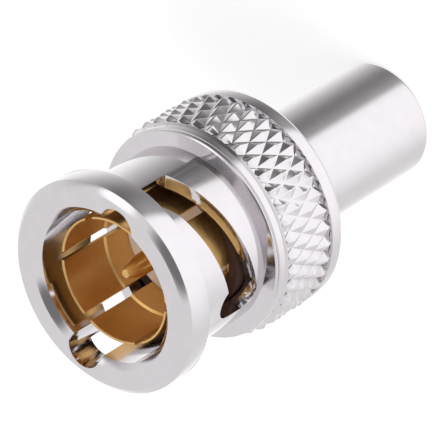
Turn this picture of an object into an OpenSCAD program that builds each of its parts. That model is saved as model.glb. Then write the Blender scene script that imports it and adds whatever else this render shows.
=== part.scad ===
// Bayonet coaxial plug for a crimped cable. It stands on the rear end of its ferrule,
// with its mating face up. The origin is the centre of that rear end, and +Z is the
// direction in which the plug is pushed onto its jack.

/* [Coupling nut] */
// Length of the coupling nut
nut_length = 14.1; // [13:0.1:17]
// Diameter of the flange round the mouth
flange_d = 13.8; // [13.4:0.1:14.6]
// Length of that flange
flange_length = 1.85; // [1.5:0.05:2.2]
// Radial size of the chamfer round the front face
flange_chamfer = 0.42; // [0.1:0.02:0.5]
// Bore that slides over the jack's shell
nut_bore_d = 9.78; // [9.7:0.02:9.9]
// Radial size of the chamfer at the mouth of the bore
mouth_chamfer = 0.39; // [0.1:0.01:0.5]
// Diameter of the waist that carries the cam slots
waist_d = 11.56; // [11.2:0.02:11.8]
// Distance from the front face to the shoulder behind the waist
shoulder_depth = 8.05; // [7.8:0.05:8.4]
// Diameter of the plain collar in front of the knurl
shoulder_d = 13.6; // [12.8:0.1:13.7]
// Depth of the thin groove turned in that collar
collar_groove_depth = 0.16; // [0.05:0.01:0.3]
// Bore of the lip that closes the rear of the nut
lip_bore_d = 8.1; // [7.9:0.05:8.4]
// Thickness of that lip
lip_thickness = 1.1; // [0.8:0.1:1.8]

/* [Knurl] */
// Diameter over the points of the knurl
knurl_d = 14.4; // [14:0.1:15]
// Depth of the knurl
knurl_depth = 0.36; // [0.2:0.02:0.4]
// Points round the knurl
knurl_count = 40; // [32:1:48]
// Rows of points along the knurl
knurl_rows = 4; // [3:1:5]
// Distance from the front face to the knurl
knurl_start = 9.02; // [8.7:0.02:9.3]
// Length of the knurled band
knurl_length = 3.95; // [2.5:0.05:4.2]
// Diameter of the plain land behind the knurl
rear_land_d = 14.16; // [13.8:0.02:14.2]
// Radial drop of the rounded rear edge
rear_round = 0.34; // [0.1:0.02:0.5]

/* [Bayonet slots] */
// Diameter of the two entry grooves
entry_d = 2.4; // [2.2:0.05:2.6]
// Distance from the plug's axis to the centre of an entry groove
entry_pitch_r = 4.95; // [4.8:0.05:5]
// Turn from the entry groove to the locked position, in degrees
lock_turn = 86.5; // [70:0.5:95]
// Width of the cam slot along the axis
cam_width = 2.44; // [2.2:0.02:2.5]
// Distance from the front face to the rear wall of the slot, at the locked position
cam_end_depth = 7.58; // [7.2:0.02:7.7]
// Distance that the cam slot climbs over the turn
cam_rise = 2.2; // [1.6:0.01:2.6]
// Diameter of the pocket that holds the stud
pocket_d = 2.2; // [2.1:0.05:2.4]
// Distance from the front face to the front wall of the pocket
pocket_depth = 4.3; // [4.1:0.05:4.8]

/* [Outer contact] */
// Distance from the nut's front face back to the tips of the fingers
finger_recess = 1.22; // [1:0.02:1.6]
// Diameter over the finger tips
finger_tip_d = 8.28; // [8.2:0.02:8.3]
// Outer diameter of the sleeve behind the tips
sleeve_d = 8.1; // [8:0.02:8.16]
// Inner diameter at the tips
tip_bore_d = 7.9; // [7.7:0.02:7.94]
// Inner diameter from the inner step to the base
sleeve_bore_d = 7.58; // [7.3:0.02:7.64]
// Distance from the nut's front face back to the inner step
inner_step_depth = 4.8; // [4:0.1:5.6]
// Slots between the fingers, an even number
finger_count = 6; // [4:2:8]
// Width of each slot
finger_slot_w = 0.6; // [0.4:0.05:0.8]
// Angle of the first slot from the entry groove, in degrees
finger_slot_turn = 43.5; // [0:0.5:60]
// Length of the sleeve pressed into the body
sleeve_seat = 2; // [1.5:0.1:2.4]

/* [Centre contact] */
// Diameter of the mating pin
pin_d = 1.32; // [1.3:0.01:1.38]
// Distance from the nut's front face back to the tip of the pin
pin_recess = 2.26; // [2:0.02:3]
// Length of the pin's tapered nose
nose_length = 1.05; // [0.6:0.05:1.3]
// Diameter of the flat on the nose
nose_flat_d = 0.55; // [0.3:0.05:0.8]
// Diameter of the crimp barrel behind the pin
barrel_d = 2.1; // [1.9:0.05:2.4]
// Diameter of the pin's root, which sits in the insulator
root_d = 1.8; // [1.6:0.05:1.85]
// Length of that root inside the insulator, ahead of the barrel
root_length = 1.9; // [1:0.1:2.2]
// Bore of the barrel, for the cable's centre wire
wire_bore_d = 1.1; // [0.8:0.05:1.2]
// Depth of that bore
wire_bore_depth = 3.4; // [2.5:0.1:4]

/* [Insulator and gasket] */
// Distance from the nut's front face back to the face of the insulator
insulator_depth = 6.7; // [6.4:0.05:7]
// Diameter of the insulator's rear spigot
spigot_d = 5.2; // [4.6:0.1:5.6]
// Distance from the nut's front face back to the gasket
gasket_depth = 6.9; // [6.7:0.05:7.1]
// Thickness of the gasket
gasket_thickness = 0.9; // [0.6:0.05:1.1]

/* [Body] */
// Diameter of the collar that runs in the nut's bore
collar_d = 9.62; // [9.5:0.02:9.7]
// Diameter of the neck that passes through the nut's lip
tail_d = 7.94; // [7.8:0.02:8]
// Diameter of the short step that centres the ferrule
step_d = 6.4; // [6.2:0.05:6.45]
// Length of that step
step_length = 1; // [0.6:0.1:1.5]
// Outer diameter of the crimp stem
stem_d = 5.1; // [4.9:0.05:5.3]
// Bore of the crimp stem, for the cable's dielectric
stem_bore_d = 3.9; // [3.6:0.05:4.1]
// Distance from the ferrule's rear end to the end of the stem
stem_recess = 2.4; // [1.5:0.1:4]
// Rings turned on the stem to grip the braid
stem_ring_count = 8; // [4:1:10]
// Distance from one ring to the next
stem_ring_pitch = 0.7; // [0.5:0.05:0.8]

/* [Washers and ring] */
// Thickness of each flat thrust washer
washer_thickness = 0.35; // [0.25:0.05:0.5]
// Height of the wave washer as fitted
wave_height = 1; // [0.85:0.05:1.2]
// Thickness of the wave washer's strip
wave_thickness = 0.22; // [0.15:0.01:0.25]
// Waves round the wave washer
wave_count = 3; // [3:1:4]
// Radial clearance of the washers in the nut and on the body
washer_clearance = 0.08; // [0.04:0.01:0.1]
// Thickness of the retaining ring
ring_thickness = 0.35; // [0.25:0.05:0.45]
// Outer diameter of the retaining ring
ring_d = 9.4; // [9:0.1:10]
// Depth of the groove that holds the ring
ring_groove_depth = 0.4; // [0.25:0.05:0.5]
// Opening of the split in the ring, in degrees
ring_split = 50; // [30:5:70]
// Clearance between the ring and the nut
ring_clearance = 0.12; // [0.05:0.01:0.2]
// Neck of the body left between the ring's groove and the ferrule
ring_land = 0.3; // [0.25:0.05:0.6]

/* [Crimp ferrule] */
// Length of the ferrule
ferrule_length = 11.7; // [10:0.1:13]
// Outer diameter of the ferrule
ferrule_d = 7.56; // [7.4:0.02:7.8]
// Bore of the ferrule
ferrule_bore_d = 6.5; // [6.46:0.02:6.6]
// Radius of the ferrule's outer edges
ferrule_round = 0.3; // [0.1:0.05:0.4]

/* [Hidden] */
$fn = 96;

// Wall left behind the insulator, play of fitted parts, and reach of a cut past its part
step_wall = 0.6;
slip = 0.02;
wall_overrun = 1;

// Heights above the ferrule's rear end
tail_end = ferrule_length;
groove_low = tail_end + ring_land;
groove_high = groove_low + ring_thickness;
nut_rear = groove_high + ring_clearance;
nut_front = nut_rear + nut_length;
lip_front = nut_rear + lip_thickness;
wave_low = lip_front + washer_thickness;
wave_high = wave_low + wave_height;
collar_rear = wave_high + washer_thickness;
collar_front = nut_front - gasket_depth - gasket_thickness;
sleeve_base = collar_front - sleeve_seat;
insulator_face = nut_front - insulator_depth;
insulator_rear = tail_end + step_wall;
pin_shoulder = insulator_face - root_length;

// Nut, from its front face
collar_groove_at = 0.14;
collar_groove_width = 0.22;
edge_break = 0.1;
knurl_run_in = 0.12;
waist_r = waist_d / 2;
entry_edge_turn = acos((entry_pitch_r * entry_pitch_r + waist_r * waist_r
    - entry_d * entry_d / 4) / (2 * entry_pitch_r * waist_r));
edge_t = -entry_edge_turn / lock_turn;
cam_steps = 24;

// Knurl: points and hollows alternate along each row
knurl_columns = 2 * knurl_count;
knurl_step = 360 / knurl_columns;
knurl_row = knurl_length / knurl_rows;
knurl_core_r = knurl_d / 2 - knurl_depth - 0.15;

// A quarter circle of radius r that turns from angle a to angle b about (x, y)
function arc(x, y, r, a, b, steps = 5) =
    [for (i = [0:steps]) let (t = a + (b - a) * i / steps) [x + r * cos(t), y + r * sin(t)]];

// A ring of the given inner and outer diameters between two heights
module tube(inner_d, outer_d, low, high) {
    translate([0, 0, low])
        difference() {
            cylinder(d = outer_d, h = high - low);
            translate([0, 0, -wall_overrun])
                cylinder(d = inner_d, h = high - low + 2 * wall_overrun);
        }
}

// A plain bore from height low to height high
module bore(d, low, high) {
    translate([0, 0, low])
        cylinder(d = d, h = high - low);
}

// ---- Coupling nut ----

// Outline of the turned nut, as radius and distance behind the front face
function nut_outline() = [
    [nut_bore_d / 2 - wall_overrun, 0],
    [flange_d / 2 - flange_chamfer, 0],
    [flange_d / 2, flange_chamfer * 0.8],
    [flange_d / 2, flange_length - edge_break],
    [flange_d / 2 - edge_break, flange_length],
    [waist_r, flange_length],
    [waist_r, shoulder_depth],
    [shoulder_d / 2 - edge_break, shoulder_depth],
    [shoulder_d / 2, shoulder_depth + edge_break],
    [shoulder_d / 2, shoulder_depth + collar_groove_at],
    [shoulder_d / 2 - collar_groove_depth, shoulder_depth + collar_groove_at + collar_groove_width / 2],
    [shoulder_d / 2, shoulder_depth + collar_groove_at + collar_groove_width],
    [shoulder_d / 2, knurl_start - knurl_run_in],
    [knurl_core_r, knurl_start],
    [knurl_core_r, knurl_start + knurl_length],
    [rear_land_d / 2, knurl_start + knurl_length],
    each arc(rear_land_d / 2 - rear_round, nut_length - rear_round, rear_round, 0, 90),
    [nut_bore_d / 2 - wall_overrun, nut_length]
];

// Point of the knurled surface in column i and row j: every second one is raised
function knurl_point(i, j) =
    let (r = knurl_d / 2 - ((i + j) % 2 == 0 ? 0 : knurl_depth), a = (i + 0.5) * knurl_step)
    [r * cos(a), r * sin(a), j * knurl_row];

// Point of the plain inner wall of the knurled ring
function knurl_core_point(i, j) =
    let (r = knurl_core_r - 0.4, a = (i + 0.5) * knurl_step)
    [r * cos(a), r * sin(a), j * knurl_row];

// Ring whose outside is covered with four-sided points between two sets of helical grooves
module knurl_ring() {
    n = knurl_columns;
    last = knurl_rows + 1;
    outer = [for (j = [0:last]) for (i = [0:n - 1]) knurl_point(i, j)];
    inner = [for (j = [0, last]) for (i = [0:n - 1]) knurl_core_point(i, j)];
    base = len(outer);
    top = last * n;
    sides = [for (j = [0:last - 1]) for (i = [0:n - 1])
        let (a = j * n + i, b = j * n + (i + 1) % n, c = a + n, d = b + n)
        each ((i + j) % 2 == 0 ? [[a, c, b], [b, c, d]] : [[a, d, b], [a, c, d]])];
    ends = [for (i = [0:n - 1]) let (k = (i + 1) % n)
        each [[i, k, base + k, base + i],
              [top + k, top + i, base + n + i, base + n + k],
              [base + i, base + k, base + n + k, base + n + i]]];
    polyhedron(points = concat(outer, inner), faces = concat(sides, ends));
}

// The knurled ring cut off square, half a row beyond its outer rows of points
module knurl_band() {
    low = nut_front - knurl_start - knurl_length;
    intersection() {
        translate([0, 0, low - knurl_row / 2])
            knurl_ring();
        bore(knurl_d + wall_overrun, low, low + knurl_length);
    }
}

// Distance of the cam slot's rear wall behind the front face, t of the way to the pocket
function cam_depth(t) = cam_end_depth - cam_rise * (1 - t);

// Ramp of one cam slot, from the far edge of its entry groove to the pocket
module cam_ramp() {
    inner_r = nut_bore_d / 2 - wall_overrun / 2;
    outer_r = waist_r + wall_overrun / 2;
    first_t = 0.96 * edge_t;
    last_t = 0.97;
    ts = [for (i = [0:cam_steps]) first_t + (last_t - first_t) * i / cam_steps];
    points = [for (t = ts) for (c = [[inner_r, 0], [outer_r, 0], [outer_r, cam_width], [inner_r, cam_width]])
        [c[0] * cos(-t * lock_turn), c[0] * sin(-t * lock_turn), nut_front - cam_depth(t) + c[1]]];
    sides = [for (s = [0:cam_steps - 1]) for (k = [0:3])
        let (a = 4 * s + k, b = 4 * s + (k + 1) % 4)
        each [[a, a + 4, b], [b, a + 4, b + 4]]];
    last = 4 * cam_steps;
    ends = [[0, 1, 2, 3], [last + 3, last + 2, last + 1, last]];
    polyhedron(points = points, faces = concat(sides, ends));
}

// Pocket at the end of the ramp, where the stud springs forward and locks
module cam_pocket() {
    reach = waist_r + wall_overrun / 2;
    inner_r = nut_bore_d / 2 - wall_overrun;
    front = nut_front - pocket_depth - pocket_d / 2;
    rear = nut_front - cam_end_depth + pocket_d / 2;
    rotate([0, 0, -lock_turn]) {
        for (z = [front, rear])
            translate([inner_r, 0, z])
                rotate([0, 90, 0])
                    cylinder(d = pocket_d, h = reach - inner_r);
        translate([inner_r, -pocket_d / 2, rear])
            cube([reach - inner_r, pocket_d, front - rear]);
    }
}

// Entry groove: a hole parallel to the axis, drilled to the rear wall of the ramp's start
module entry_groove() {
    translate([entry_pitch_r, 0, nut_front - cam_depth(edge_t) + 0.02])
        cylinder(d = entry_d, h = nut_length);
}

module coupling_nut() {
    color("gainsboro")
        difference() {
            union() {
                translate([0, 0, nut_front])
                    mirror([0, 0, 1])
                        rotate_extrude()
                            polygon(nut_outline());
                knurl_band();
            }
            bore(nut_bore_d, lip_front, nut_front + wall_overrun);
            bore(lip_bore_d, nut_rear - wall_overrun, lip_front + wall_overrun);
            translate([0, 0, nut_front - mouth_chamfer])
                cylinder(d1 = nut_bore_d, d2 = nut_bore_d + 2 * mouth_chamfer, h = mouth_chamfer);
            for (side = [0, 180])
                rotate([0, 0, side]) {
                    entry_groove();
                    cam_ramp();
                    cam_pocket();
                }
        }
}

// ---- Body ----

// Outside of the body and its crimp stem, as radius and height
function body_outline() = [
    [stem_bore_d / 2 - wall_overrun, stem_recess],
    [stem_d / 2 - edge_break, stem_recess],
    [stem_d / 2, stem_recess + edge_break],
    [stem_d / 2, tail_end - step_length],
    [step_d / 2 - edge_break, tail_end - step_length],
    [step_d / 2, tail_end - step_length + edge_break],
    [step_d / 2, tail_end],
    [tail_d / 2, tail_end],
    [tail_d / 2, groove_low],
    [tail_d / 2 - ring_groove_depth, groove_low],
    [tail_d / 2 - ring_groove_depth, groove_high],
    [tail_d / 2, groove_high],
    [tail_d / 2, collar_rear],
    [collar_d / 2, collar_rear],
    [collar_d / 2, collar_front - edge_break],
    [collar_d / 2 - edge_break, collar_front],
    [stem_bore_d / 2 - wall_overrun, collar_front]
];

module stem_rings() {
    ring_depth = 0.15;
    first = stem_recess + 1.2;
    for (i = [0:stem_ring_count - 1])
        translate([0, 0, first + i * stem_ring_pitch])
            rotate_extrude()
                polygon([[stem_d / 2 - ring_depth, 0],
                         [stem_d / 2 + ring_depth, -2 * ring_depth],
                         [stem_d / 2 + ring_depth, 2 * ring_depth]]);
}

module body() {
    color("silver")
        difference() {
            rotate_extrude()
                polygon(body_outline());
            bore(stem_bore_d, stem_recess - wall_overrun, collar_front);
            bore(spigot_d, insulator_rear, collar_front);
            bore(sleeve_d, sleeve_base, collar_front + wall_overrun);
            stem_rings();
        }
}

// ---- Outer contact ----

// Section of the sprung sleeve: the fingers flare a little to their rounded tips
function sleeve_section() =
    let (tip = nut_front - finger_recess, step = nut_front - inner_step_depth,
         tip_wall = (finger_tip_d - tip_bore_d) / 2)
    [
        [sleeve_bore_d / 2, sleeve_base],
        [sleeve_d / 2, sleeve_base],
        [sleeve_d / 2, collar_front + gasket_thickness],
        [finger_tip_d / 2, tip - 1.2],
        [finger_tip_d / 2, tip - tip_wall / 2],
        [finger_tip_d / 2 - tip_wall / 3, tip],
        [tip_bore_d / 2 + tip_wall / 4, tip],
        [tip_bore_d / 2, tip - tip_wall / 2],
        [tip_bore_d / 2, step],
        [sleeve_bore_d / 2, step - (tip_bore_d - sleeve_bore_d) / 4]
    ];

module outer_contact() {
    slot_low = insulator_face - 0.3;
    color("goldenrod")
        difference() {
            rotate_extrude()
                polygon(sleeve_section());
            for (k = [0:finger_count / 2 - 1])
                rotate([0, 0, finger_slot_turn + k * 360 / finger_count])
                    translate([-finger_tip_d, -finger_slot_w / 2, slot_low])
                        cube([2 * finger_tip_d, finger_slot_w, nut_front]);
        }
}

// ---- Centre contact ----

module centre_contact() {
    root_proud = 0.1;
    tip = nut_front - pin_recess;
    barrel_end = insulator_rear;
    color("gold")
        difference() {
            union() {
                bore(barrel_d, barrel_end, pin_shoulder);
                bore(root_d, pin_shoulder, insulator_face + root_proud);
                bore(pin_d, insulator_face, tip - nose_length);
                translate([0, 0, tip - nose_length])
                    cylinder(d1 = pin_d, d2 = nose_flat_d, h = nose_length);
            }
            bore(wire_bore_d, barrel_end - wall_overrun, barrel_end + wire_bore_depth);
        }
}

// ---- Insulator and gasket ----

module insulator() {
    color("white")
        difference() {
            union() {
                bore(sleeve_bore_d - 2 * slip, sleeve_base, insulator_face);
                bore(spigot_d - 2 * slip, insulator_rear, sleeve_base);
            }
            bore(barrel_d + 2 * slip, insulator_rear - wall_overrun, pin_shoulder);
            bore(root_d + 2 * slip, insulator_rear, insulator_face + wall_overrun);
        }
}

module gasket() {
    color("dimgray")
        tube(sleeve_d + 2 * slip, collar_d - 2 * edge_break, collar_front, collar_front + gasket_thickness);
}

// ---- Washers and retaining ring ----

module thrust_washer(low) {
    color("lightgray")
        tube(tail_d + 2 * washer_clearance, nut_bore_d - 2 * washer_clearance, low, low + washer_thickness);
}

module front_washer() {
    thrust_washer(wave_high);
}

module rear_washer() {
    thrust_washer(lip_front);
}

// Flat strip bent into waves that touch the flat washers by turns
module wave_washer() {
    n = 24 * wave_count;
    swing = wave_height - wave_thickness;
    inner_r = tail_d / 2 + washer_clearance + slip;
    outer_r = nut_bore_d / 2 - washer_clearance - slip;
    points = [for (i = [0:n - 1])
        let (a = 360 * i / n, z = wave_low + swing * (1 - cos(a * wave_count)) / 2)
        for (c = [[inner_r, 0], [outer_r, 0], [outer_r, wave_thickness], [inner_r, wave_thickness]])
            [c[0] * cos(a), c[0] * sin(a), z + c[1]]];
    faces = [for (i = [0:n - 1]) for (k = [0:3])
        let (a = 4 * i + k, b = 4 * i + (k + 1) % 4,
             c = 4 * ((i + 1) % n) + k, d = 4 * ((i + 1) % n) + (k + 1) % 4)
        each [[a, b, c], [b, d, c]]];
    color("slategray")
        polyhedron(points = points, faces = faces);
}

module retaining_ring() {
    reach = ring_d;
    half = ring_split / 2;
    color("darkgray")
        difference() {
            tube(tail_d - 2 * ring_groove_depth + 2 * slip, ring_d, groove_low, groove_high);
            translate([0, 0, groove_low - wall_overrun])
                linear_extrude(ring_thickness + 2 * wall_overrun)
                    polygon([[0, 0], [reach * cos(half), reach * sin(half)],
                             [reach * cos(half), -reach * sin(half)]]);
        }
}

// ---- Crimp ferrule ----

function ferrule_section() =
    let (r = ferrule_d / 2, e = ferrule_round)
    [
        [ferrule_bore_d / 2, 0],
        each arc(r - e, e, e, -90, 0),
        each arc(r - e, ferrule_length - e, e, 0, 90),
        [ferrule_bore_d / 2, ferrule_length]
    ];

module crimp_ferrule() {
    color("lightgray")
        rotate_extrude()
            polygon(ferrule_section());
}

coupling_nut();
body();
outer_contact();
centre_contact();
insulator();
gasket();
front_washer();
wave_washer();
rear_washer();
retaining_ring();
crimp_ferrule();
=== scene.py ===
import math

import bmesh
import bpy
from mathutils import Matrix, Vector


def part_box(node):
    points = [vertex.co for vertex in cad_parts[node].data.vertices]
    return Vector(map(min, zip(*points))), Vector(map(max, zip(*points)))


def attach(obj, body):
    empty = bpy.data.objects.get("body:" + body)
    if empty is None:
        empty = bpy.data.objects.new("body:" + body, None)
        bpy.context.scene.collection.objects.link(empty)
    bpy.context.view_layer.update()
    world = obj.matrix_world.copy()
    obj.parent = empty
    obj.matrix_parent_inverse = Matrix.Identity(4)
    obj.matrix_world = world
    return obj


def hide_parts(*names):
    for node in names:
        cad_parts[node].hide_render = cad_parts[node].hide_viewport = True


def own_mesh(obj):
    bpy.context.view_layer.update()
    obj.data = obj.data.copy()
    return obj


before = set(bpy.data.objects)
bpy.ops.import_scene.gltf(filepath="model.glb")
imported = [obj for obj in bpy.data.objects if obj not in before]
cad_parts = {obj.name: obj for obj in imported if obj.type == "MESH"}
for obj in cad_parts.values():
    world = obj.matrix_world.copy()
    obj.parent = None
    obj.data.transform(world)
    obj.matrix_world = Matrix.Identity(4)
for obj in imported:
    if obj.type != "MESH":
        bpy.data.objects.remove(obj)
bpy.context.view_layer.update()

# ---- Table top, camera and studio light ----
# The plug stands on its ferrule on a plain white table. A long lens looks down on the
# mating face from the side, and two soft boxes light it. Instead of the table and the lamps,
# metal mirrors a room painted into the world for glossy rays only: pale all round, with a
# painted dark card, a painted dark patch and a painted bright lamp. These are painted
# reflections and light nothing.

MM = 0.001


def srgb(code):
    """Linear colour, with alpha, from an sRGB hex code."""
    parts = [int(code[i : i + 2], 16) / 255 for i in (1, 3, 5)]
    return (*[p / 12.92 if p <= 0.04045 else ((p + 0.055) / 1.055) ** 2.4 for p in parts], 1.0)


def add(tree, kind, links=None, **settings):
    """Adds a node, sets its properties and input values, and links its inputs."""
    node = tree.nodes.new(kind)
    for key, value in settings.items():
        if hasattr(node, key):
            setattr(node, key, value)
        else:
            node.inputs[key.replace("_", " ")].default_value = value
    for key, socket in (links or {}).items():
        tree.links.new(socket, node.inputs[key])
    return node


def maths(tree, operation, *values):
    """Result of a maths node. Each value is a number or another node's output."""
    node = add(tree, "ShaderNodeMath", operation=operation)
    for socket, value in zip(node.inputs, values):
        if isinstance(value, (int, float)):
            socket.default_value = value
        else:
            tree.links.new(value, socket)
    return node.outputs[0]


def new_material(name):
    material = bpy.data.materials.new(name)
    material.use_nodes = True
    material.node_tree.nodes.clear()
    return material, material.node_tree


def keep(name, bm, material):
    """Turns a mesh built in millimetres into an object at the origin, in metres."""
    bmesh.ops.scale(bm, vec=(MM, MM, MM), verts=bm.verts)
    mesh = bpy.data.meshes.new(name)
    bm.to_mesh(mesh)
    bm.free()
    mesh.materials.append(material)
    piece = bpy.data.objects.new(name, mesh)
    bpy.context.scene.collection.objects.link(piece)
    return piece


# Laminate: a dull white sheet, which fades into the background but keeps the shadow
FLOOR_HALF = 900
FLOOR_GLOW = 0.45
floor_material, tree = new_material("white_laminate")
path = add(tree, "ShaderNodeLightPath")
seen = maths(tree, "MAXIMUM", path.outputs["Is Camera Ray"], path.outputs["Is Glossy Ray"])
seen = maths(tree, "MAXIMUM", seen, path.outputs["Is Transmission Ray"])
glow = maths(tree, "MULTIPLY", seen, FLOOR_GLOW)
lit = add(tree, "ShaderNodeBsdfDiffuse", Color=srgb("#E8E8E8"))
shine = add(tree, "ShaderNodeEmission", {"Strength": glow}, Color=(1, 1, 1, 1))
both = add(tree, "ShaderNodeAddShader", {0: lit.outputs[0], 1: shine.outputs[0]})
add(tree, "ShaderNodeOutputMaterial", {"Surface": both.outputs[0]})

bm = bmesh.new()
bmesh.ops.create_grid(bm, x_segments=1, y_segments=1, size=FLOOR_HALF)
floor = keep("table_top", bm, floor_material)
floor.visible_glossy = False

# The camera: where it stands from the middle of the mating face, and how it is turned
MOUTH = Vector((0, 0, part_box("coupling_nut")[1].z))
CAMERA_FROM_MOUTH = Vector((-159.47, 96.25, 149.66))
camera_data = bpy.data.cameras.new("camera")
camera_data.lens = 330.57
camera_data.sensor_width = 36
camera_data.clip_start = 0.01
camera_data.clip_end = 10
camera = bpy.data.objects.new("camera", camera_data)
bpy.context.scene.collection.objects.link(camera)
side = Vector((-0.2075, 0.7349, -0.6457)).normalized()
ahead = Vector((0.6494, -0.3902, -0.6527)).normalized()
over = side.cross(ahead).normalized()
side = ahead.cross(over).normalized()
turn = Matrix((side, over, -ahead)).transposed().to_4x4()
camera.matrix_world = Matrix.Translation(MOUTH + CAMERA_FROM_MOUTH * MM) @ turn
bpy.context.scene.camera = camera
bpy.context.scene.view_settings.view_transform = "Standard"

world = bpy.data.worlds.new("white_room")
world.use_nodes = True
tree = world.node_tree
tree.nodes.clear()
aim = add(tree, "ShaderNodeTexCoord").outputs["Generated"]


def sky(azimuth, elevation):
    """Unit vector towards a place in the room; azimuth is counted from +X towards +Y."""
    a, e = math.radians(azimuth), math.radians(elevation)
    return Vector((math.cos(a) * math.cos(e), math.sin(a) * math.cos(e), math.sin(e)))


def ramp(value, low, high, start=0.0, end=1.0):
    """A soft step: start below low, end above high."""
    return add(tree, "ShaderNodeMapRange", {"Value": value}, interpolation_type="SMOOTHSTEP",
               From_Min=low, From_Max=high, To_Min=start, To_Max=end).outputs[0]


def patch(azimuth, elevation, inner, outer):
    """1 within inner degrees of a direction, falling to 0 at outer degrees."""
    dot = add(tree, "ShaderNodeVectorMath", {0: aim}, operation="DOT_PRODUCT")
    dot.inputs[1].default_value = sky(azimuth, elevation)
    return ramp(dot.outputs["Value"], math.cos(math.radians(outer)), math.cos(math.radians(inner)))


# Levels of the painted reflection room, which only glossy rays see, where 1 is white
PLAIN_LEVEL = 0.55
ROOM_LEVEL = 0.93
PAINTED_CARD_DEPTH = 0.80
# Painted reflections: azimuth, elevation, inner and outer reach in degrees, and what the patch
# adds
PAINTED_REFLECTION_PATCHES = (
    (132, 50, 12, 32, -0.70),  # painted dark reflection overhead
    (222, 42, 8, 20, 0.60),  # painted reflection of the fill light's face
    (139, -38, 8, 70, 0.45),  # painted reflection of the lit table on the camera's side
    (318, -40, 5, 45, 0.25),  # painted reflection of the lit table on the far side
)

parts = add(tree, "ShaderNodeSeparateXYZ", {0: aim})
bearing = maths(tree, "ARCTAN2", parts.outputs[1], parts.outputs[0])
bearing = maths(tree, "FLOORED_MODULO", maths(tree, "DEGREES", bearing), 360.0)
rise = maths(tree, "DEGREES", maths(tree, "ARCSINE", parts.outputs[2]))
# A painted dark card, seen only in the metal's reflections; it casts no shade
painted_dark_card = maths(tree, "MULTIPLY", ramp(bearing, 178, 190), ramp(bearing, 205, 286, 1.0, 0.0))
painted_dark_card = maths(tree, "MULTIPLY", painted_dark_card, ramp(rise, 22, 34, 1.0, 0.0))
room = maths(tree, "SUBTRACT", ROOM_LEVEL, maths(tree, "MULTIPLY", painted_dark_card, PAINTED_CARD_DEPTH))
for *place, change in PAINTED_REFLECTION_PATCHES:
    room = maths(tree, "ADD", room, maths(tree, "MULTIPLY", patch(*place), change))
path = add(tree, "ShaderNodeLightPath")
plain = add(tree, "ShaderNodeBackground", Color=(1, 1, 1, 1), Strength=PLAIN_LEVEL)
painted_reflection = add(tree, "ShaderNodeBackground", {"Strength": room}, Color=(1, 1, 1, 1))
white = add(tree, "ShaderNodeBackground", Color=(1, 1, 1, 1), Strength=1.0)
mix = add(tree, "ShaderNodeMixShader",
          {0: path.outputs["Is Glossy Ray"], 1: plain.outputs[0], 2: painted_reflection.outputs[0]})
seen = maths(tree, "MAXIMUM", path.outputs["Is Camera Ray"], path.outputs["Is Transmission Ray"])
mix = add(tree, "ShaderNodeMixShader", {0: seen, 1: mix.outputs[0], 2: white.outputs[0]})
add(tree, "ShaderNodeOutputWorld", {"Surface": mix.outputs[0]})
bpy.context.scene.world = world

LAMP_DISTANCE = 400
PLUG_MIDDLE = Vector((0, 0, 13))


def soft_box(name, azimuth, elevation, size, power):
    """A square lamp that faces the plug; azimuth is counted from +X towards +Y."""
    data = bpy.data.lights.new(name, "AREA")
    data.energy = power
    data.size = size * MM
    lamp = bpy.data.objects.new(name, data)
    way = sky(azimuth, elevation)
    lamp.location = (way * LAMP_DISTANCE + PLUG_MIDDLE) * MM
    lamp.rotation_mode = "QUATERNION"
    lamp.rotation_quaternion = way.to_track_quat("Z", "Y")
    lamp.visible_glossy = False
    bpy.context.scene.collection.objects.link(lamp)


soft_box("key_light", 100, 55, 220, 0.55)
soft_box("fill_light", 235, 40, 260, 0.25)

# ---- Coupling nut ----
# Turned from brass bar on a lathe, drilled for the two entry grooves, milled through for
# the two cam slots, rolled with a diamond knurl, and plated with bright nickel over a
# finely turned surface.


def lathe(bm, outline, steps):
    """Turns a closed outline of (radius, height) points about Z."""
    rings = [[bm.verts.new((r * math.cos(a), r * math.sin(a), z)) for r, z in outline]
             for a in (2 * math.pi * i / steps for i in range(steps))]
    count = len(outline)
    for i in range(steps):
        near, far = rings[i], rings[(i + 1) % steps]
        for j in range(count):
            k = (j + 1) % count
            bm.faces.new((near[j], far[j], far[k], near[k]))
    bmesh.ops.remove_doubles(bm, verts=bm.verts, dist=1e-6)
    bmesh.ops.recalc_face_normals(bm, faces=bm.faces)


def finish_modifiers(piece):
    """Applies every modifier of a piece, and leaves a plain mesh."""
    graph = bpy.context.evaluated_depsgraph_get()
    made = bpy.data.meshes.new_from_object(piece.evaluated_get(graph))
    piece.modifiers.clear()
    piece.data = made


def round_edges(piece, width, limit=28):
    """Breaks the sharp edges of a finished piece, and keeps its flats flat to the eye."""
    for face in piece.data.polygons:
        face.use_smooth = True
    bevel = piece.modifiers.new("edges", "BEVEL")
    bevel.width = width * MM
    bevel.segments = 2
    bevel.limit_method = "ANGLE"
    bevel.angle_limit = math.radians(limit)
    evened = piece.modifiers.new("flats", "WEIGHTED_NORMAL")
    evened.weight = 90
    finish_modifiers(piece)


def cut(piece, cutters):
    """Takes the cutters away from a piece, one after another."""
    for cutter in cutters:
        away = piece.modifiers.new("cut", "BOOLEAN")
        away.operation = "DIFFERENCE"
        away.solver = "EXACT"
        away.object = cutter
        finish_modifiers(piece)
        bpy.data.objects.remove(cutter)


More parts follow.
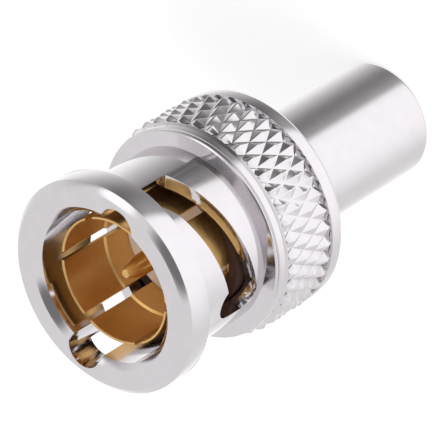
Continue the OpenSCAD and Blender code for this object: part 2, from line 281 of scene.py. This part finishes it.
def turned_metal(name, colour, low, high, ring_mm=0.05, bump=0.06, mottle=0.25):
    """Plated metal, with the fine rings of the turning tool and a slightly uneven polish."""
    material, tree = new_material(name)
    where = add(tree, "ShaderNodeTexCoord").outputs["Object"]
    parts = add(tree, "ShaderNodeSeparateXYZ", {0: where})
    flat = add(tree, "ShaderNodeCombineXYZ", {0: parts.outputs[0], 1: parts.outputs[1]})
    radius = add(tree, "ShaderNodeVectorMath", {0: flat.outputs[0]}, operation="LENGTH")
    along = add(tree, "ShaderNodeCombineXYZ", {0: radius.outputs["Value"], 1: parts.outputs[2]})
    rings = add(tree, "ShaderNodeTexNoise", {"Vector": along.outputs[0]},
                Scale=1 / (ring_mm * MM * 2), Detail=3.0)
    grain = add(tree, "ShaderNodeTexNoise", {"Vector": where},
                Scale=1 / (0.9 * MM), Detail=6.0, Roughness=0.65)
    both = add(tree, "ShaderNodeMix",
               {"Factor": grain.outputs[0], "A": rings.outputs[0], "B": grain.outputs[0]})
    rough = add(tree, "ShaderNodeMapRange", {"Value": both.outputs[0]},
                From_Min=0.3, From_Max=0.7, To_Min=low, To_Max=high)
    tone = add(tree, "ShaderNodeMapRange", {"Value": grain.outputs[0]},
               From_Min=0.3, From_Max=0.7, To_Min=1 - mottle * 0.2, To_Max=1.0)
    tint = add(tree, "ShaderNodeMix", data_type="RGBA", blend_type="MULTIPLY")
    tint.inputs[0].default_value = 1.0
    tint.inputs[6].default_value = srgb(colour)
    tree.links.new(tone.outputs[0], tint.inputs[7])
    relief = add(tree, "ShaderNodeBump", {"Height": rings.outputs[0]},
                 Strength=bump, Distance=0.02 * MM)
    surface = add(tree, "ShaderNodeBsdfPrincipled",
                  {"Base Color": tint.outputs[2], "Roughness": rough.outputs[0],
                   "Normal": relief.outputs[0]},
                  Metallic=1.0)
    add(tree, "ShaderNodeOutputMaterial", {"Surface": surface.outputs[0]})
    return material


# Bright nickel: nearly a mirror, with a faint cool cast
nickel = turned_metal("bright_nickel_plate", "#DAD6D9", 0.07, 0.15, bump=0.03)

NUT_STEPS = 240
WAIST_R = 5.78
BORE_R = 4.89
nut_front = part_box("coupling_nut")[1].z / MM
# Radius and distance behind the front face
nut_outline = [
    (5.28, 0), (6.48, 0), (6.87, 0.34), (6.90, 1.85),  # front face and flange
    (WAIST_R, 1.85), (WAIST_R, 8.05),  # waist
    (6.72, 8.05), (6.80, 8.13), (6.80, 8.19),  # shoulder
    (6.64, 8.24), (6.64, 8.36), (6.80, 8.41), (6.80, 8.86),  # groove and collar
    (6.93, 9.02), (6.80, 9.02), (6.80, 12.97),  # run-in and seat of the knurl
    (7.08, 12.97), (7.08, 13.75), (6.97, 13.95), (6.74, 14.1),  # rear land
    (4.05, 14.1), (4.05, 13.0), (BORE_R, 13.0), (BORE_R, 0.39),  # lip and bore
]
bm = bmesh.new()
lathe(bm, [(r, nut_front - depth) for r, depth in nut_outline], NUT_STEPS)
nut = keep("coupling_nut_turned", bm, nickel)

ENTRY_PITCH_R = 4.95
ENTRY_R = 1.2
ENTRY_EDGE_TURN = 8.6
LOCK_TURN = 86.5
CAM_WIDTH = 2.44
CAM_END = 7.58
CAM_RISE = 2.2
CAM_STEPS = 72
CAM_REACH = 0.97
LEAD_IN = 0.5
LEAD_IN_SHARE = 0.21
POCKET_R = 1.1
POCKET_FRONT = 4.3


def cam_depth(t):
    """Depth of the ramp's rear wall behind the front face, t of the way to the pocket."""
    return CAM_END - CAM_RISE * (1 - t)


def lead_in(t):
    """Extra width in front of the ramp, where the stud leaves the entry groove."""
    return LEAD_IN * max(0.0, 1 - max(t, 0.0) / LEAD_IN_SHARE)


def entry_drill():
    """The drill of an entry groove, which runs parallel to the axis."""
    bm = bmesh.new()
    bottom = nut_front - cam_depth(-ENTRY_EDGE_TURN / LOCK_TURN) + 0.02
    length = 20
    bmesh.ops.create_cone(bm, cap_ends=True, segments=64, radius1=ENTRY_R, radius2=ENTRY_R,
                          depth=length,
                          matrix=Matrix.Translation((ENTRY_PITCH_R, 0, bottom + length / 2)))
    return bm


def cam_cutter():
    """The path of the cutter up the ramp of a cam slot."""
    bm = bmesh.new()
    inner_r, outer_r = 4.4, 6.3
    first_t = -CAM_REACH * ENTRY_EDGE_TURN / LOCK_TURN
    last = None
    for i in range(CAM_STEPS + 1):
        t = first_t + (CAM_REACH - first_t) * i / CAM_STEPS
        a = math.radians(-t * LOCK_TURN)
        low = nut_front - cam_depth(t)
        high = low + CAM_WIDTH + lead_in(t)
        ring = [bm.verts.new((r * math.cos(a), r * math.sin(a), z))
                for r, z in ((inner_r, low), (outer_r, low), (outer_r, high), (inner_r, high))]
        if last:
            for k in range(4):
                bm.faces.new((last[k], ring[k], ring[(k + 1) % 4], last[(k + 1) % 4]))
        else:
            bm.faces.new(ring)
        last = ring
    bm.faces.new(last[::-1])
    bmesh.ops.recalc_face_normals(bm, faces=bm.faces)
    return bm


def pocket_mill():
    """The end mill's round-ended path along the axis, for the pocket that locks the stud."""
    bm = bmesh.new()
    inner_x, outer_x, arc_steps = 4.0, 6.4, 24
    low = nut_front - CAM_END + POCKET_R
    high = nut_front - POCKET_FRONT - POCKET_R
    angles = [math.pi * i / arc_steps for i in range(arc_steps + 1)]
    loop = [(POCKET_R * math.cos(a), high + POCKET_R * math.sin(a)) for a in angles]
    loop += [(-y, low - (z - high)) for y, z in loop]
    inner = [bm.verts.new((inner_x, y, z)) for y, z in loop]
    outer = [bm.verts.new((outer_x, y, z)) for y, z in loop]
    for k in range(len(loop)):
        n = (k + 1) % len(loop)
        bm.faces.new((inner[k], inner[n], outer[n], outer[k]))
    bm.faces.new(inner[::-1])
    bm.faces.new(outer)
    bmesh.ops.recalc_face_normals(bm, faces=bm.faces)
    bm.transform(Matrix.Rotation(math.radians(-LOCK_TURN), 4, "Z"))
    return bm


cutters = []
for half_turn in (0, 180):
    spin = Matrix.Rotation(math.radians(half_turn), 4, "Z")
    for name, tool in (("entry_drill", entry_drill()), ("cam_cutter", cam_cutter()),
                       ("pocket_mill", pocket_mill())):
        tool.transform(spin)
        cutters.append(keep(name, tool, nickel))
cut(nut, cutters)
round_edges(nut, 0.06)

# The knurl: one four-sided point, set out in rows round the band
KNURL_POINTS = 40
KNURL_ROWS = 4
KNURL_CREST = 7.2
KNURL_ROOT = 6.84
KNURL_START = 9.02
KNURL_LENGTH = 3.95
KNURL_CORE = 6.7
POINT_FLAT = 0.12
row = KNURL_LENGTH / KNURL_ROWS
half = math.pi * KNURL_ROOT / KNURL_POINTS
sag = KNURL_ROOT * (1 - math.cos(math.pi / KNURL_POINTS))

bm = bmesh.new()
corners = [(KNURL_ROOT, 0, -row), (KNURL_ROOT - sag, half, 0),
           (KNURL_ROOT, 0, row), (KNURL_ROOT - sag, -half, 0)]
base = [bm.verts.new(c) for c in corners]
crown = [bm.verts.new((KNURL_CREST - POINT_FLAT * 0.3, y * POINT_FLAT, z * POINT_FLAT))
         for x, y, z in corners]
for k in range(4):
    n = (k + 1) % 4
    bm.faces.new((base[k], base[n], crown[n], crown[k]))
bm.faces.new(crown)
knurl_point = keep("knurl_point", bm, nickel)

tree = bpy.data.node_groups.new("diamond_knurl", "GeometryNodeTree")
for name, kind, value in (("Points round", "NodeSocketInt", KNURL_POINTS),
                          ("Rows", "NodeSocketInt", KNURL_ROWS),
                          ("Row step", "NodeSocketFloat", row * MM),
                          ("First row", "NodeSocketFloat", 0.0),
                          ("First angle", "NodeSocketFloat", 0.0)):
    socket = tree.interface.new_socket(name, in_out="INPUT", socket_type=kind)
    socket.default_value = value
tree.interface.new_socket("Geometry", in_out="OUTPUT", socket_type="NodeSocketGeometry")
sizes = add(tree, "NodeGroupInput").outputs
total = maths(tree, "MULTIPLY", sizes["Points round"], sizes["Rows"])
points = add(tree, "GeometryNodePoints", {"Count": total})
index = add(tree, "GeometryNodeInputIndex").outputs[0]
level = maths(tree, "FLOOR", maths(tree, "DIVIDE", index, sizes["Points round"]))
# Every row starts half a point further round than the row in front of it
place = maths(tree, "ADD", index, maths(tree, "MULTIPLY", level, 0.5))
share = maths(tree, "DIVIDE", place, sizes["Points round"])
angle = maths(tree, "MULTIPLY", share, 2 * math.pi)
angle = maths(tree, "ADD", angle, sizes["First angle"])
drop = maths(tree, "MULTIPLY", level, sizes["Row step"])
height = maths(tree, "SUBTRACT", sizes["First row"], drop)
spot = add(tree, "ShaderNodeCombineXYZ", {2: height})
spread = add(tree, "GeometryNodeSetPosition",
             {"Geometry": points.outputs[0], "Position": spot.outputs[0]})
facing = add(tree, "ShaderNodeCombineXYZ", {2: angle})
shape = add(tree, "GeometryNodeObjectInfo", Object=knurl_point)
copies = add(tree, "GeometryNodeInstanceOnPoints",
             {"Points": spread.outputs[0], "Instance": shape.outputs["Geometry"],
              "Rotation": facing.outputs[0]})
real = add(tree, "GeometryNodeRealizeInstances", {0: copies.outputs[0]})
dressed = add(tree, "GeometryNodeSetMaterial", {"Geometry": real.outputs[0]}, Material=nickel)
add(tree, "NodeGroupOutput", {0: dressed.outputs[0]})

bm = bmesh.new()
bm.verts.new((0, 0, 0))
knurl = keep("coupling_nut_knurl", bm, nickel)
rule = knurl.modifiers.new("knurl", "NODES")
rule.node_group = tree
sockets = {s.name: s.identifier for s in tree.interface.items_tree if s.in_out == "INPUT"}
rule[sockets["First row"]] = (nut_front - KNURL_START - row / 2) * MM
rule[sockets["First angle"]] = math.radians(90 / KNURL_POINTS)
finish_modifiers(knurl)
bpy.data.objects.remove(knurl_point)

# The band is cut off square at both ends, and closed down to the body of the nut
bm = bmesh.new()
bm.from_mesh(knurl.data)
bmesh.ops.remove_doubles(bm, verts=bm.verts, dist=0.002 * MM)
for depth, outward in ((KNURL_START, 1), (KNURL_START + KNURL_LENGTH, -1)):
    z = (nut_front - depth) * MM
    bmesh.ops.bisect_plane(bm, geom=bm.verts[:] + bm.edges[:] + bm.faces[:], plane_co=(0, 0, z),
                           plane_no=(0, 0, outward), clear_outer=True)
    rim = [e for e in bm.edges
           if e.is_boundary and all(abs(v.co.z - z) < 1e-6 for v in e.verts)]
    for made in bmesh.ops.extrude_edge_only(bm, edges=rim)["geom"]:
        if isinstance(made, bmesh.types.BMVert):
            made.co.xy *= KNURL_CORE * MM / made.co.xy.length
bm.to_mesh(knurl.data)
bm.free()
round_edges(knurl, 0.08, limit=20)
with bpy.context.temp_override(active_object=nut, selected_editable_objects=[nut, knurl]):
    bpy.ops.object.join()
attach(nut, "nut")
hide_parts("coupling_nut")

# ---- Outer contact ----
# A sleeve turned from beryllium copper, sawn into six springy fingers and plated with
# gold. Its rim is rounded, and its bore steps in part of the way down.

# Gold over a satin ground: it glows softly, and mirrors nothing sharply
gold = turned_metal("gold_plate", "#E8BC79", 0.30, 0.44, ring_mm=0.07, bump=0.05, mottle=0.5)

SLEEVE_STEPS = 180
SLEEVE_R = 4.05
FINGER_R = 4.14
TIP_BORE_R = 3.95
SLEEVE_BORE_R = 3.79
FINGER_SLOTS = 6
FINGER_SLOT_WIDTH = 0.6
FINGER_SLOT_TURN = 43.5
FINGER_SLOT_DEPTH = 7.0
SAW_SIZE = 12
low, high = (corner.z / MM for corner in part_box("outer_contact"))
bm = bmesh.new()
lathe(bm, [
    (SLEEVE_BORE_R, low), (SLEEVE_R, low), (SLEEVE_R, low + 2.9),  # foot
    (FINGER_R, high - 1.2), (FINGER_R, high - 0.07),  # sprung tips
    (4.10, high), (3.99, high), (TIP_BORE_R, high - 0.06),  # rim
    (TIP_BORE_R, high - 3.55), (SLEEVE_BORE_R, high - 3.65),  # step in the bore
], SLEEVE_STEPS)
sleeve = keep("outer_contact_sleeve", bm, gold)
saws = []
for k in range(FINGER_SLOTS // 2):
    bm = bmesh.new()
    bmesh.ops.create_cube(bm, size=1)
    bmesh.ops.scale(bm, vec=(SAW_SIZE, FINGER_SLOT_WIDTH, SAW_SIZE), verts=bm.verts)
    bmesh.ops.translate(bm, vec=(0, 0, nut_front - FINGER_SLOT_DEPTH + SAW_SIZE / 2),
                        verts=bm.verts)
    slot_turn = FINGER_SLOT_TURN + 360 / FINGER_SLOTS * k
    bm.transform(Matrix.Rotation(math.radians(slot_turn), 4, "Z"))
    saws.append(keep("saw", bm, gold))
cut(sleeve, saws)
round_edges(sleeve, 0.03)
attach(sleeve, "plug")
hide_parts("outer_contact")

# ---- Centre contact ----
# A turned brass pin with a tapered nose, plated with gold. It stands in the middle of
# the insulator, and its hollow rear end is crimped on the cable's wire.

PIN_STEPS = 72
PIN_R = 0.66
ROOT_R = 0.90
BARREL_R = 1.05
WIRE_BORE_R = 0.55
WIRE_BORE_DEPTH = 3.4
BARREL_TOP = 6.34
ROOT_TOP = 4.34
NOSE_LENGTH = 1.05
low, high = (corner.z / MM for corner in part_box("centre_contact"))
bm = bmesh.new()
lathe(bm, [
    (WIRE_BORE_R, low), (BARREL_R, low), (BARREL_R, high - BARREL_TOP),
    (ROOT_R, high - BARREL_TOP), (ROOT_R, high - ROOT_TOP), (PIN_R, high - ROOT_TOP),
    (PIN_R, high - NOSE_LENGTH), (0.30, high - 0.05), (0.25, high), (0.0, high),
    (0.0, low + WIRE_BORE_DEPTH), (WIRE_BORE_R, low + WIRE_BORE_DEPTH),
], PIN_STEPS)
pin = keep("centre_contact_pin", bm, gold)
round_edges(pin, 0.025)
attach(pin, "plug")
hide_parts("centre_contact")

# ---- Insulator ----
# Turned from a white PTFE rod. It is waxy. Its colour is painted warm: painted light that
# stands in for what the gold sleeve round it reflects onto it.


def plain_stuff(name, colour, roughness, grain_mm, strength):
    """A dull plastic or rubber, with the fine unevenness of its surface."""
    material, tree = new_material(name)
    where = add(tree, "ShaderNodeTexCoord")
    grain = add(tree, "ShaderNodeTexNoise", {"Vector": where.outputs["Object"]},
                Scale=1 / (grain_mm * MM), Detail=4.0)
    relief = add(tree, "ShaderNodeBump", {"Height": grain.outputs[0]},
                 Strength=strength, Distance=0.02 * MM)
    surface = add(tree, "ShaderNodeBsdfPrincipled", {"Normal": relief.outputs[0]},
                  Base_Color=srgb(colour), Roughness=roughness)
    add(tree, "ShaderNodeOutputMaterial", {"Surface": surface.outputs[0]})
    return material


def repaint(node, material):
    """Gives a solid of the frame its finished material."""
    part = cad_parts[node]
    part.data.materials.clear()
    part.data.materials.append(material)


# PTFE: a soft sheen without a clear highlight, on a colour warmed by painted reflected light
repaint("insulator", plain_stuff("ptfe_with_painted_warm_light", "#EDDCCB", 0.45, 0.3, 0.1))

# ---- Gasket ----
# A moulded silicone ring that lies in the bottom of the nut and seals on the jack.

# Silicone: dark and dull, so that it only deepens the shade in the nut. The dark grey is
# the silicone's own; the brown tint in its colour is a painted warm reflection of the gold sleeve.
repaint("gasket", plain_stuff("dark_silicone", "#40281F", 0.7, 0.15, 0.2))

# ---- Body, washers and retaining ring ----
# The body is turned from brass and nickel plated. The washers and the split ring are
# stamped from thin spring bronze and plated too.

repaint("body", nickel)
# Plated bronze: greyer and duller than the turned pieces
spring = turned_metal("plated_spring_bronze", "#C9C4BE", 0.25, 0.4)
for node in ("front_washer", "rear_washer", "retaining_ring"):
    repaint(node, spring)

# The waved strip: in the real plug it goes flat as the nut is drawn forward against it,
# but here it keeps the waved shape of the frame's solid
bm = bmesh.new()
bm.from_mesh(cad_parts["wave_washer"].data)
bmesh.ops.scale(bm, vec=(1 / MM, 1 / MM, 1 / MM), verts=bm.verts)
bmesh.ops.remove_doubles(bm, verts=bm.verts, dist=1e-4)
wave = keep("wave_washer_strip", bm, spring)
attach(wave, "plug")
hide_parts("wave_washer")
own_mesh(wave)

# ---- Crimp ferrule ----
# A length of thin brass tube with rounded ends, nickel plated, that slides over the
# braid and the stem before it is crimped.

# Satin nickel: drawn tube is a little duller than turned bar, so its highlights are wider
satin_nickel = turned_metal("satin_nickel_plate", "#DAD6D9", 0.14, 0.24, bump=0.04)
FERRULE_STEPS = 180
FERRULE_R = 3.78
FERRULE_BORE_R = 3.25
FERRULE_ROUND = 0.3
ROUND_STEPS = 6
low, high = (corner.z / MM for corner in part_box("crimp_ferrule"))
edge_r = FERRULE_R - FERRULE_ROUND
angles = [math.pi / 2 * i / ROUND_STEPS for i in range(ROUND_STEPS + 1)]
edge = [(FERRULE_ROUND * math.cos(a), FERRULE_ROUND * math.sin(a)) for a in angles]
outline = [(FERRULE_BORE_R, low)]
outline += [(edge_r + x, low + FERRULE_ROUND - y) for x, y in reversed(edge)]
outline += [(edge_r + x, high - FERRULE_ROUND + y) for x, y in edge]
outline += [(FERRULE_BORE_R, high)]
bm = bmesh.new()
lathe(bm, outline, FERRULE_STEPS)
ferrule = keep("crimp_ferrule_tube", bm, satin_nickel)
round_edges(ferrule, 0.02, limit=60)
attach(ferrule, "ferrule")
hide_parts("crimp_ferrule")
